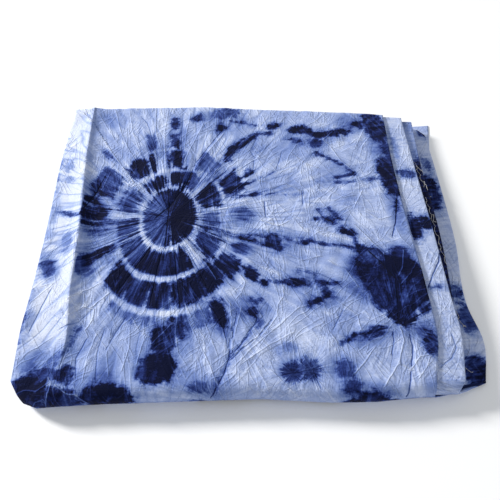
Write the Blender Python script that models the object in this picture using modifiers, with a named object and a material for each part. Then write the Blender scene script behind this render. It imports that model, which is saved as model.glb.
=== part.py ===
"""A length of blue tie-dyed cotton, folded into a flat packet.

The cloth is folded in half along its length, at the near edge, and back and forth
into six leaves, so twelve plies lie on each other. Metres, +Z up, +Y away from the
near fold, the origin under the middle of the packet, which rests on z = 0.
"""

import math

import bmesh
import bpy
import numpy as np

# One ply of cloth, the way from one ply to the next, and the turn that joins two. A turn
# whose edge runs aslant reaches further out in x, up to this many times.
PLY = 0.0012
PITCH = 0.0025
LEAVES = 6
TURN_RADIUS = PITCH / 2
MOST_SLANT = 3.0

# The outermost ply over the middle of the stack, and the height of that middle.
OUTERMOST = (LEAVES - 0.5) * PITCH
MIDDLE_HEIGHT = OUTERMOST + PLY / 2

# Steps of the mesh: the x of the lines down each leaf, closer together under the ridge
# at the left, then the steps round each turn, along each half and round the near fold.
LEAF_LINES = (-0.256, -0.244, -0.232, -0.220, -0.208, -0.190, -0.150, -0.080, 0.000, 0.080, 0.150, 0.182)
TURN_STEPS = 4
UPPER_STEPS = (0.0, 0.05, 0.14, 0.25, 0.38, 0.51, 0.63, 0.74, 0.84, 0.93, 1.0)
LOWER_STEPS = (1.0, 0.975, 0.94, 0.86, 0.72, 0.58, 0.42, 0.25, 0.1, 0.04, 0.0)
NEAR_FOLD_STEPS = 6

# Each edge's outermost x at six stations of its run. A turn joins a leaf to the
# next; the first and the last row are the cloth's own ends.
STATIONS = np.array((0.0, 0.25, 0.5, 0.75, 0.88, 1.0))
RIGHT, LEFT = 1, -1
EDGE_SIDES = (RIGHT, LEFT, RIGHT, LEFT, RIGHT, LEFT, RIGHT)
UPPER_EDGES = (
    #  far     quarter   half   3/4     before   near fold
    (0.2060, 0.2030, 0.2055, 0.2090, 0.2095, 0.1970),  # end of leaf 1
    (-0.2785, -0.2815, -0.2795, -0.2800, -0.2825, -0.2810),  # turn of leaves 1 and 2
    (0.2350, 0.2355, 0.2375, 0.2380, 0.2395, 0.2310),  # turn of leaves 2 and 3
    (-0.2805, -0.2835, -0.2805, -0.2800, -0.2830, -0.2820),  # turn of leaves 3 and 4
    (0.2515, 0.2470, 0.2480, 0.2415, 0.2355, 0.2275),  # turn of leaves 4 and 5
    (-0.2820, -0.2830, -0.2810, -0.2805, -0.2830, -0.2815),  # turn of leaves 5 and 6
    (0.2220, 0.2250, 0.2180, 0.2200, 0.2140, 0.2050),  # end of leaf 6
)
LOWER_EDGES = (
    (0.2850, 0.2675, 0.2635, 0.2555, 0.2535, 0.2385),
    (-0.2790, -0.2785, -0.2800, -0.2815, -0.2805, -0.2770),
    (0.2735, 0.2740, 0.2725, 0.2640, 0.2720, 0.2610),
    (-0.2800, -0.2800, -0.2805, -0.2845, -0.2840, -0.2790),
    (0.2380, 0.2360, 0.2350, 0.2310, 0.2300, 0.2240),
    (-0.2810, -0.2820, -0.2800, -0.2835, -0.2830, -0.2800),
    (0.2150, 0.2220, 0.2170, 0.2190, 0.2120, 0.2080),
)
# Round the near fold each edge keeps this x, where the stack is drawn in.
FOLD_EDGES = (0.1950, -0.2660, 0.2225, -0.2720, 0.2240, -0.2775, 0.2060)

# The far edge and the middle of the near fold, as y over x, and the way between them.
RUN_LENGTH = 0.450
FAR_EDGE = ((-0.285, 0.2370), (-0.070, 0.2370), (0.000, 0.2310), (0.240, 0.2140), (0.285, 0.2170))
NEAR_FOLD = (
    (-0.285, -0.2075), (-0.276, -0.2125), (-0.264, -0.2185), (-0.250, -0.2235), (-0.190, -0.2210),
    (0.000, -0.2185), (0.080, -0.2242), (0.130, -0.2242), (0.182, -0.2200), (0.222, -0.2200),
    (0.245, -0.2165), (0.285, -0.2150),
)
# How far each leaf's own far edge stands back, upper and lower, and the rounded
# far corner of the lower turn of leaves 2 and 3.
UPPER_SET_BACK = (0.0, 0.0015, -0.0010, 0.0060, 0.0080, 0.0040)
LOWER_SET_BACK = (-0.0015, 0.0060, 0.0070, 0.0050, 0.0045, 0.0030)
CORNER_LEAVES = (1, 2)
CORNER_RADIUS = 0.026

# The ridge crease on the upper leaves, near the left edge: its crest and height at
# the same six stations, and how wide its left and right flanks are.
RIDGE_CREST = (-0.2460, -0.2405, -0.2305, -0.2255, -0.2220, -0.2300)
RIDGE_HEIGHT = (0.0025, 0.0045, 0.0062, 0.0050, 0.0028, 0.0005)
RIDGE_LEFT_FLANK = 0.034
RIDGE_RIGHT_FLANK = 0.020

# Where the stack is thicker or pressed down: x, y, reach, change of its height.
SWELLS = (
    (-0.130, 0.050, 0.090, 0.0025),  # the large tied ring
    (0.190, -0.070, 0.060, 0.0020),  # the dark knot at the right
    (0.020, 0.080, 0.110, -0.0015),
    (-0.030, -0.130, 0.110, 0.0015),
    (-0.270, -0.200, 0.055, -0.0060),  # the soft near left corner
    (0.260, -0.200, 0.060, -0.0040),
    (0.250, 0.200, 0.070, -0.0035),
    (-0.280, 0.210, 0.060, -0.0020),
)


def along(row, v):
    """The value of a table's row at v, on a smooth line through its stations."""
    row = np.asarray(row)
    slopes = np.gradient(row, STATIONS)
    i = min(int(np.searchsorted(STATIONS, v, side="right")) - 1, len(STATIONS) - 2)
    span = STATIONS[i + 1] - STATIONS[i]
    s = (v - STATIONS[i]) / span
    start = (1 + 2 * s) * (1 - s) ** 2 * row[i] + s * (1 - s) ** 2 * span * slopes[i]
    end = s * s * (3 - 2 * s) * row[i + 1] + s * s * (s - 1) * span * slopes[i + 1]
    return float(start + end)


def line_at(points, x):
    """The y of an outline given as points (x, y)."""
    return float(np.interp(x, [p[0] for p in points], [p[1] for p in points]))


def ease(s):
    """0 below 0, 1 above 1, and smooth between."""
    s = min(max(s, 0.0), 1.0)
    return s * s * (3 - 2 * s)


def section_steps():
    """(leaf, line) or (turn, angle) for each step of the section, from leaf 1's end."""
    steps = []
    for leaf in range(LEAVES):
        lines = ["left", *LEAF_LINES, "right"]
        steps += [("leaf", leaf, line) for line in (lines if leaf % 2 else reversed(lines))]
        if leaf < LEAVES - 1:
            steps += [("turn", leaf, math.pi * i / TURN_STEPS) for i in range(1, TURN_STEPS)]
    return steps


def section_point(step, edges, bulges):
    """The x of a step, and its height over the middle of the stack."""
    kind, leaf, where = step
    height = OUTERMOST - leaf * PITCH

    def end_of(number):
        reach = PLY / 2 if number in (0, LEAVES) else PLY / 2 + bulges[number]
        return edges[number] - EDGE_SIDES[number] * reach

    if kind == "turn":
        x = end_of(leaf + 1) + EDGE_SIDES[leaf + 1] * bulges[leaf + 1] * math.sin(where)
        return x, height - TURN_RADIUS * (1 - math.cos(where))
    ends = (leaf, leaf + 1) if leaf % 2 else (leaf + 1, leaf)
    return {"left": end_of(ends[0]), "right": end_of(ends[1])}.get(where, where), height


def run_steps():
    """(place, where) along the stack: its upper half, the near fold, its lower half."""
    turns = [("fold", math.pi * i / NEAR_FOLD_STEPS) for i in range(1, NEAR_FOLD_STEPS)]
    return [("upper", v) for v in UPPER_STEPS] + turns + [("lower", v) for v in LOWER_STEPS]


def edges_at(place, where):
    """The x of the seven edges at one step of the run."""
    if place == "upper":
        return [along(row, where) for row in UPPER_EDGES]
    if place == "lower":
        return [along(row, where) for row in LOWER_EDGES]
    share = 1 - math.sin(where)
    ends = UPPER_EDGES if where < math.pi / 2 else LOWER_EDGES
    return [fold + (row[-1] - fold) * share**0.8 for row, fold in zip(ends, FOLD_EDGES)]


def bulges_along(run, edges):
    """How far each turn reaches out in x: more where its edge runs aslant, so it stays round."""
    bulges = []
    for number in range(LEAVES + 1):
        over = max(OUTERMOST - (number - 0.5) * PITCH, TURN_RADIUS)
        path = []
        for place, where in run:
            if place == "fold":
                path.append((-over * math.sin(where), over * math.cos(where)))
            else:
                path.append((RUN_LENGTH * (1 - where), over if place == "upper" else -over))
        steps = [math.dist(a, b) for a, b in zip(path, path[1:])]
        way = np.concatenate(([0.0], np.cumsum(steps)))
        slant = np.gradient([row[number] for row in edges], way)
        bulges.append(TURN_RADIUS * np.minimum(np.hypot(1, slant), MOST_SLANT))
    return np.transpose(bulges)


def far_edge(place, leaf, x, right_end):
    """The y at which a leaf ends at the back of the packet."""
    back = (UPPER_SET_BACK if place == "upper" else LOWER_SET_BACK)[leaf]
    y = line_at(FAR_EDGE, x) - back
    into_corner = x - (right_end - CORNER_RADIUS)
    if place == "lower" and leaf in CORNER_LEAVES and into_corner > 0:
        into_corner = min(into_corner, CORNER_RADIUS)
        y -= CORNER_RADIUS - math.sqrt(CORNER_RADIUS**2 - into_corner**2)
    return y


def uneven(x, y, height):
    """The height with the stack's swells and, in its upper leaves, the ridge crease."""
    full = 2 * MIDDLE_HEIGHT
    swell = sum(
        rise * math.exp(-((x - cx) ** 2 + (y - cy) ** 2) / reach**2)
        for cx, cy, reach, rise in SWELLS
    )
    lifted = PLY / 2 + (height - PLY / 2) * (1 + swell / full)
    far, near = line_at(FAR_EDGE, x), line_at(NEAR_FOLD, x)
    v = min(max((far - y) / (far - near), 0.0), 1.0)
    off = x - along(RIDGE_CREST, v)
    flank = RIDGE_LEFT_FLANK if off < 0 else RIDGE_RIGHT_FLANK
    ridge = along(RIDGE_HEIGHT, v) * ease(1 - abs(off) / flank)
    return lifted + ridge * ease((height / full - 0.35) / 0.6)


def cloth_point(section_step, run_step, edges, bulges):
    """Where one point of the cloth's middle lies in the packet."""
    place, where = run_step
    x, over = section_point(section_step, edges, bulges)
    near = line_at(NEAR_FOLD, x)
    if place == "fold":
        y = near - over * math.sin(where)
        height = MIDDLE_HEIGHT + over * math.cos(where)
    else:
        leaf = section_step[1]
        right_end = edges[leaf if leaf % 2 == 0 else leaf + 1]
        far = far_edge(place, leaf, x, right_end)
        y = far + (near - far) * where
        height = MIDDLE_HEIGHT + (over if place == "upper" else -over)
    return x, y, uneven(x, y, height)


def dyed_cotton():
    """Cotton, dyed indigo on a pale ground."""
    material = bpy.data.materials.new("dyed_cotton")
    material.use_nodes = True
    shader = material.node_tree.nodes["Principled BSDF"]
    shader.inputs["Base Color"].default_value = (0.27, 0.34, 0.62, 1.0)
    shader.inputs["Roughness"].default_value = 0.9
    shader.inputs["Metallic"].default_value = 0.0
    return material


def folded_cloth(collection):
    """The cloth: a flat grid laid along its folds, then given its thickness."""
    across, down = section_steps(), run_steps()
    edges = [edges_at(*step) for step in down]
    bulges = bulges_along(down, edges)
    flat = bmesh.new()
    bmesh.ops.create_grid(flat, x_segments=len(across) - 1, y_segments=len(down) - 1, size=1.0)
    for vert in flat.verts:
        column = round((vert.co.x + 1) / 2 * (len(across) - 1))
        row = round((vert.co.y + 1) / 2 * (len(down) - 1))
        vert.co = cloth_point(across[column], down[row], edges[row], bulges[row])
    mesh = bpy.data.meshes.new("cloth")
    flat.to_mesh(mesh)
    flat.free()
    mesh.materials.append(dyed_cotton())
    mesh.shade_smooth()
    cloth = bpy.data.objects.new("cloth", mesh)
    collection.objects.link(cloth)
    thickness = cloth.modifiers.new("thickness", "SOLIDIFY")
    thickness.thickness = PLY
    thickness.offset = 0.0
    return cloth


for old in list(bpy.data.objects):
    bpy.data.objects.remove(old, do_unlink=True)
packet = bpy.data.collections.new("shibori_dyed_cloth")
bpy.context.scene.collection.children.link(packet)
folded_cloth(packet)
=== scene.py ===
"""A length of blue tie-dyed cotton, folded into a flat packet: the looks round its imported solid.

The cloth is folded in half at the near edge and back and forth into six leaves, and a few
frayed yarns lie in the gap at its right. Metres, +Z up, +Y away from the near fold. The
dye's places are in millimetres on the top leaf.
"""

import math

import bpy
import numpy as np
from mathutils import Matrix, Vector, noise
from mathutils.bvhtree import BVHTree


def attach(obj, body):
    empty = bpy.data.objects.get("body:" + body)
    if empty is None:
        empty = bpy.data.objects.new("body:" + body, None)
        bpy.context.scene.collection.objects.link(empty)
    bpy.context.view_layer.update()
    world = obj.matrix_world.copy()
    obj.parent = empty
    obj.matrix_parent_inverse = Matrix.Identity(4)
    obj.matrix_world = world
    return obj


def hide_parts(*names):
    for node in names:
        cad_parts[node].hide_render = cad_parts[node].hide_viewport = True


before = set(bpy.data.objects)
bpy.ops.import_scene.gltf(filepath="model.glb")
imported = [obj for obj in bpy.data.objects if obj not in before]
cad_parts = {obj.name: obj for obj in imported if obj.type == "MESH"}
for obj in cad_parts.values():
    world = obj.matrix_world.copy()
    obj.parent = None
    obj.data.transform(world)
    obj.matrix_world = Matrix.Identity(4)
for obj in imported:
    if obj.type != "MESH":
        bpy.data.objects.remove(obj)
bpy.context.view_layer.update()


# The camera stands in front of the near fold, about 0.6 m above it, and looks down at the
# packet, turned a little to its right.
CAMERA_PLACE = (-0.0165, -0.450, 0.612)
CAMERA_TILT = math.radians(35.1)
CAMERA_TURN = math.radians(-1.14)
CAMERA_LENS = 39.6
CAMERA_SENSOR = 36.0

camera = bpy.data.objects.new("camera", bpy.data.cameras.new("camera"))
camera.location = CAMERA_PLACE
camera.rotation_euler = (CAMERA_TILT, 0.0, CAMERA_TURN)
camera.data.lens = CAMERA_LENS
camera.data.sensor_width = CAMERA_SENSOR
bpy.context.scene.collection.objects.link(camera)
bpy.context.scene.camera = camera
bpy.context.scene.view_settings.view_transform = "Standard"


# The floor is a plain pale sheet of studio paper. A large soft lamp to the left of the
# packet gives the creases their light and dark sides. A weak broad one at the right and a
# pale sky fill the rest.
FLOOR_SIDE = 8.0
FLOOR_COLOUR = (0.97, 0.972, 0.975, 1.0)
FLOOR_ROUGHNESS = 0.9
SKY_COLOUR = (0.93, 0.96, 1.0, 1.0)
SKY_STRENGTH = 0.51
LAMPS = (
    # name, place, side, power, colour
    ("key_lamp", (-3.90, 1.90, 1.90), 0.90, 335.0, (1.0, 0.985, 0.96)),
    ("fill_lamp", (3.60, -2.20, 1.90), 1.80, 26.0, (0.93, 0.96, 1.0)),
)
LAMP_AIM = Vector((0.0, 0.0, 0.0))

floor_mesh = bpy.data.meshes.new("floor")
half_floor = FLOOR_SIDE / 2
floor_mesh.from_pydata(
    [(x * half_floor, y * half_floor, 0.0) for x, y in ((-1, -1), (1, -1), (1, 1), (-1, 1))],
    [],
    [(0, 1, 2, 3)],
)
floor = bpy.data.objects.new("floor", floor_mesh)
bpy.context.scene.collection.objects.link(floor)
studio_paper = bpy.data.materials.new("studio_paper")
studio_paper.use_nodes = True
paper_shader = studio_paper.node_tree.nodes["Principled BSDF"]
paper_shader.inputs["Base Color"].default_value = FLOOR_COLOUR
paper_shader.inputs["Roughness"].default_value = FLOOR_ROUGHNESS
floor_mesh.materials.append(studio_paper)

for name, place, side, power, colour in LAMPS:
    lamp = bpy.data.objects.new(name, bpy.data.lights.new(name, "AREA"))
    lamp.data.shape = "DISK"
    lamp.data.size = side
    lamp.data.energy = power
    lamp.data.color = colour
    lamp.location = place
    lamp.rotation_euler = (LAMP_AIM - Vector(place)).to_track_quat("-Z", "Y").to_euler()
    bpy.context.scene.collection.objects.link(lamp)

sky = bpy.data.worlds.new("sky")
sky.use_nodes = True
background = sky.node_tree.nodes["Background"]
background.inputs["Color"].default_value = SKY_COLOUR
background.inputs["Strength"].default_value = SKY_STRENGTH
bpy.context.scene.world = sky


# The cloth is one length of plain-woven cotton. It was pleated towards its ties, bound and
# dyed in blue, so it keeps rings, rays and sharp creases, then folded into twelve plies.
CLOTH_THICKNESS = 0.0008
PLY = 0.0012
PITCH = 0.0025
LEAVES = 6
TURN_RADIUS = PITCH / 2
MOST_SLANT = 3.0
OUTERMOST = (LEAVES - 0.5) * PITCH
MIDDLE_HEIGHT = OUTERMOST + PLY / 2
RUN_LENGTH = 0.450
FOLD_LENGTH = math.pi * MIDDLE_HEIGHT

# The mesh is fine where it shows: all over the top leaf, on the strips at the right and
# round the turns. Where a leaf is hidden it has a few lines and long steps. The flat places
# are the top leaf's own on the line at FLAT_MIDDLE of its width.
TOP_COLUMNS = 186
UPPER_ROWS = 166
FOLD_ROWS = 12
LOWER_ROWS = 50
TURN_STEPS = 5
STRIP_COLUMNS = 11
STRIP_START = 0.186
TOP_EDGE_SHARE = 0.93
HIDDEN_STRIDES = {"upper": 12, "fold": 2, "lower": 10}
FLAT_MIDDLE = 0.575
HIDDEN_LINES = (
    -0.262, -0.254, -0.250, -0.246, -0.242, -0.238, -0.234, -0.230, -0.226, -0.222, -0.218, -0.214, -0.210,
    -0.204, -0.190, -0.150, -0.080, 0.000, 0.080, 0.150,
)

# Each edge's outermost x at six stations of its run, as in the solid. A turn joins a leaf
# to the next; the first and the last row are the cloth's own ends.
STATIONS = np.array((0.0, 0.25, 0.5, 0.75, 0.88, 1.0))
RIGHT, LEFT = 1, -1
EDGE_SIDES = (RIGHT, LEFT, RIGHT, LEFT, RIGHT, LEFT, RIGHT)
UPPER_EDGES = (
    #  far     quarter   half   3/4     before   near fold
    (0.2060, 0.2030, 0.2055, 0.2090, 0.2095, 0.1970),  # end of leaf 1
    (-0.2785, -0.2815, -0.2795, -0.2800, -0.2825, -0.2810),  # turn of leaves 1 and 2
    (0.2350, 0.2355, 0.2375, 0.2380, 0.2395, 0.2310),  # turn of leaves 2 and 3
    (-0.2805, -0.2835, -0.2805, -0.2800, -0.2830, -0.2820),  # turn of leaves 3 and 4
    (0.2515, 0.2470, 0.2480, 0.2415, 0.2355, 0.2275),  # turn of leaves 4 and 5
    (-0.2820, -0.2830, -0.2810, -0.2805, -0.2830, -0.2815),  # turn of leaves 5 and 6
    (0.2220, 0.2250, 0.2180, 0.2200, 0.2140, 0.2050),  # end of leaf 6
)
LOWER_EDGES = (
    (0.2850, 0.2675, 0.2635, 0.2555, 0.2535, 0.2385),
    (-0.2790, -0.2785, -0.2800, -0.2815, -0.2805, -0.2770),
    (0.2735, 0.2740, 0.2725, 0.2640, 0.2720, 0.2610),
    (-0.2800, -0.2800, -0.2805, -0.2845, -0.2840, -0.2790),
    (0.2380, 0.2360, 0.2350, 0.2310, 0.2300, 0.2240),
    (-0.2810, -0.2820, -0.2800, -0.2835, -0.2830, -0.2800),
    (0.2150, 0.2220, 0.2170, 0.2190, 0.2120, 0.2080),
)
FOLD_DRAW = 0.8
FOLD_EDGES = (0.1950, -0.2660, 0.2225, -0.2720, 0.2240, -0.2775, 0.2060)
FAR_EDGE = ((-0.285, 0.2370), (-0.070, 0.2370), (0.000, 0.2310), (0.240, 0.2140), (0.285, 0.2170))
NEAR_FOLD = (
    (-0.285, -0.2075), (-0.276, -0.2125), (-0.264, -0.2185), (-0.250, -0.2235), (-0.190, -0.2210),
    (0.000, -0.2185), (0.080, -0.2242), (0.130, -0.2242), (0.182, -0.2200), (0.222, -0.2200),
    (0.245, -0.2165), (0.285, -0.2150),
)
UPPER_SET_BACK = (0.0, 0.0015, -0.0010, 0.0060, 0.0080, 0.0040)
LOWER_SET_BACK = (-0.0015, 0.0060, 0.0070, 0.0050, 0.0045, 0.0030)
CORNER_LEAVES = (1, 2)
CORNER_RADIUS = 0.026
RIDGE_CREST = (-0.2475, -0.2425, -0.2330, -0.2280, -0.2240, -0.2300)
RIDGE_HEIGHT = (0.0028, 0.0052, 0.0074, 0.0060, 0.0032, 0.0006)
RIDGE_LEFT_FLANK = 0.046
RIDGE_RIGHT_FLANK = 0.024
RIDGE_HOLLOW = 2.0
RIDGE_ROOT, RIDGE_DEPTH = 0.35, 0.6
RUN_FAR_END, RUN_SPAN = 0.237, 0.458
CREST_FROM, CREST_SPAN = 0.001, 0.003
SWELLS = (
    # x, y, reach, change of height
    (-0.130, 0.050, 0.090, 0.0025),
    (0.190, -0.070, 0.060, 0.0020),
    (0.020, 0.080, 0.110, -0.0015),
    (-0.030, -0.130, 0.110, 0.0015),
    (-0.270, -0.200, 0.055, -0.0060),
    (0.260, -0.200, 0.060, -0.0040),
    (0.250, 0.200, 0.070, -0.0035),
    (-0.280, 0.210, 0.060, -0.0020),
)


def along(row, v):
    """The values of a table's row at v, on a smooth line through its stations."""
    row, v = np.asarray(row), np.asarray(v)
    slopes = np.gradient(row, STATIONS)
    i = np.clip(np.searchsorted(STATIONS, v, side="right") - 1, 0, len(STATIONS) - 2)
    span = STATIONS[i + 1] - STATIONS[i]
    s = (v - STATIONS[i]) / span
    start = (1 + 2 * s) * (1 - s) ** 2 * row[i] + s * (1 - s) ** 2 * span * slopes[i]
    end = s * s * (3 - 2 * s) * row[i + 1] + s * s * (s - 1) * span * slopes[i + 1]
    return start + end


def line_at(points, x):
    """The y of an outline given as points (x, y)."""
    return np.interp(x, [p[0] for p in points], [p[1] for p in points])


def ease(s):
    """0 below 0, 1 above 1, and smooth between."""
    s = np.clip(s, 0.0, 1.0)
    return s * s * (3 - 2 * s)


def section_columns():
    """(kind, leaf, where) for each line down the cloth, from the top leaf's end."""
    columns = []
    for leaf in range(LEAVES):
        if leaf == 0:
            lines = [("share", leaf, i / TOP_COLUMNS) for i in range(TOP_COLUMNS + 1)]
        else:
            lines = [("share", leaf, 0.0)] + [("line", leaf, x) for x in HIDDEN_LINES]
            strips = STRIP_COLUMNS if leaf in (1, 2) else 2
            lines += [("strip", leaf, i / strips) for i in range(strips + 1)]
        columns += lines if leaf % 2 else lines[::-1]
        if leaf < LEAVES - 1:
            columns += [("turn", leaf, math.pi * i / TURN_STEPS) for i in range(1, TURN_STEPS)]
    return columns


def run_rows():
    """(half, where) for each line across the cloth: upper half, near fold, lower half."""
    fold = [("fold", math.pi * i / FOLD_ROWS) for i in range(1, FOLD_ROWS)]
    upper = [("upper", i / UPPER_ROWS) for i in range(UPPER_ROWS + 1)]
    return upper + fold + [("lower", 1 - i / LOWER_ROWS) for i in range(LOWER_ROWS + 1)]


def edges_at(half, where):
    """The x of the seven edges at one row."""
    if half == "upper":
        return [float(along(row, where)) for row in UPPER_EDGES]
    if half == "lower":
        return [float(along(row, where)) for row in LOWER_EDGES]
    share = 1 - math.sin(where)
    ends = UPPER_EDGES if where < math.pi / 2 else LOWER_EDGES
    return [fold + (row[-1] - fold) * share**FOLD_DRAW for row, fold in zip(ends, FOLD_EDGES)]


def bulges_along(rows, edges):
    """How far each turn reaches out in x: more where its edge runs aslant, so it stays round."""
    bulges = []
    for number in range(LEAVES + 1):
        over = max(OUTERMOST - (number - 0.5) * PITCH, TURN_RADIUS)
        path = []
        for half, where in rows:
            if half == "fold":
                path.append((-over * math.sin(where), over * math.cos(where)))
            else:
                path.append((RUN_LENGTH * (1 - where), over if half == "upper" else -over))
        way = np.concatenate(([0.0], np.cumsum([math.dist(a, b) for a, b in zip(path, path[1:])])))
        slant = np.gradient([row[number] for row in edges], way)
        bulges.append(TURN_RADIUS * np.minimum(np.hypot(1, slant), MOST_SLANT))
    return np.transpose(bulges)


def uneven(x, y, height):
    """The height with the stack's swells and, in its upper leaves, the ridge crease."""
    full = 2 * MIDDLE_HEIGHT
    swell = sum(
        rise * np.exp(-((x - cx) ** 2 + (y - cy) ** 2) / reach**2) for cx, cy, reach, rise in SWELLS
    )
    lifted = PLY / 2 + (height - PLY / 2) * (1 + swell / full)
    far, near = line_at(FAR_EDGE, x), line_at(NEAR_FOLD, x)
    v = np.clip((far - y) / (far - near), 0.0, 1.0)
    off = x - along(RIDGE_CREST, v)
    flank = np.where(off < 0, RIDGE_LEFT_FLANK, RIDGE_RIGHT_FLANK)
    ridge = along(RIDGE_HEIGHT, v) * np.clip(1 - np.abs(off) / flank, 0.0, 1.0) ** RIDGE_HOLLOW
    return lifted + ridge * ease((height / full - RIDGE_ROOT) / RIDGE_DEPTH)


def crest_at(y):
    """(x of the ridge's crest, how clearly it stands up from 0 to 1) at y, in metres."""
    v = np.clip((RUN_FAR_END - y) / RUN_SPAN, 0.0, 1.0)
    return along(RIDGE_CREST, v), ease((along(RIDGE_HEIGHT, v) - CREST_FROM) / CREST_SPAN)


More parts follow.
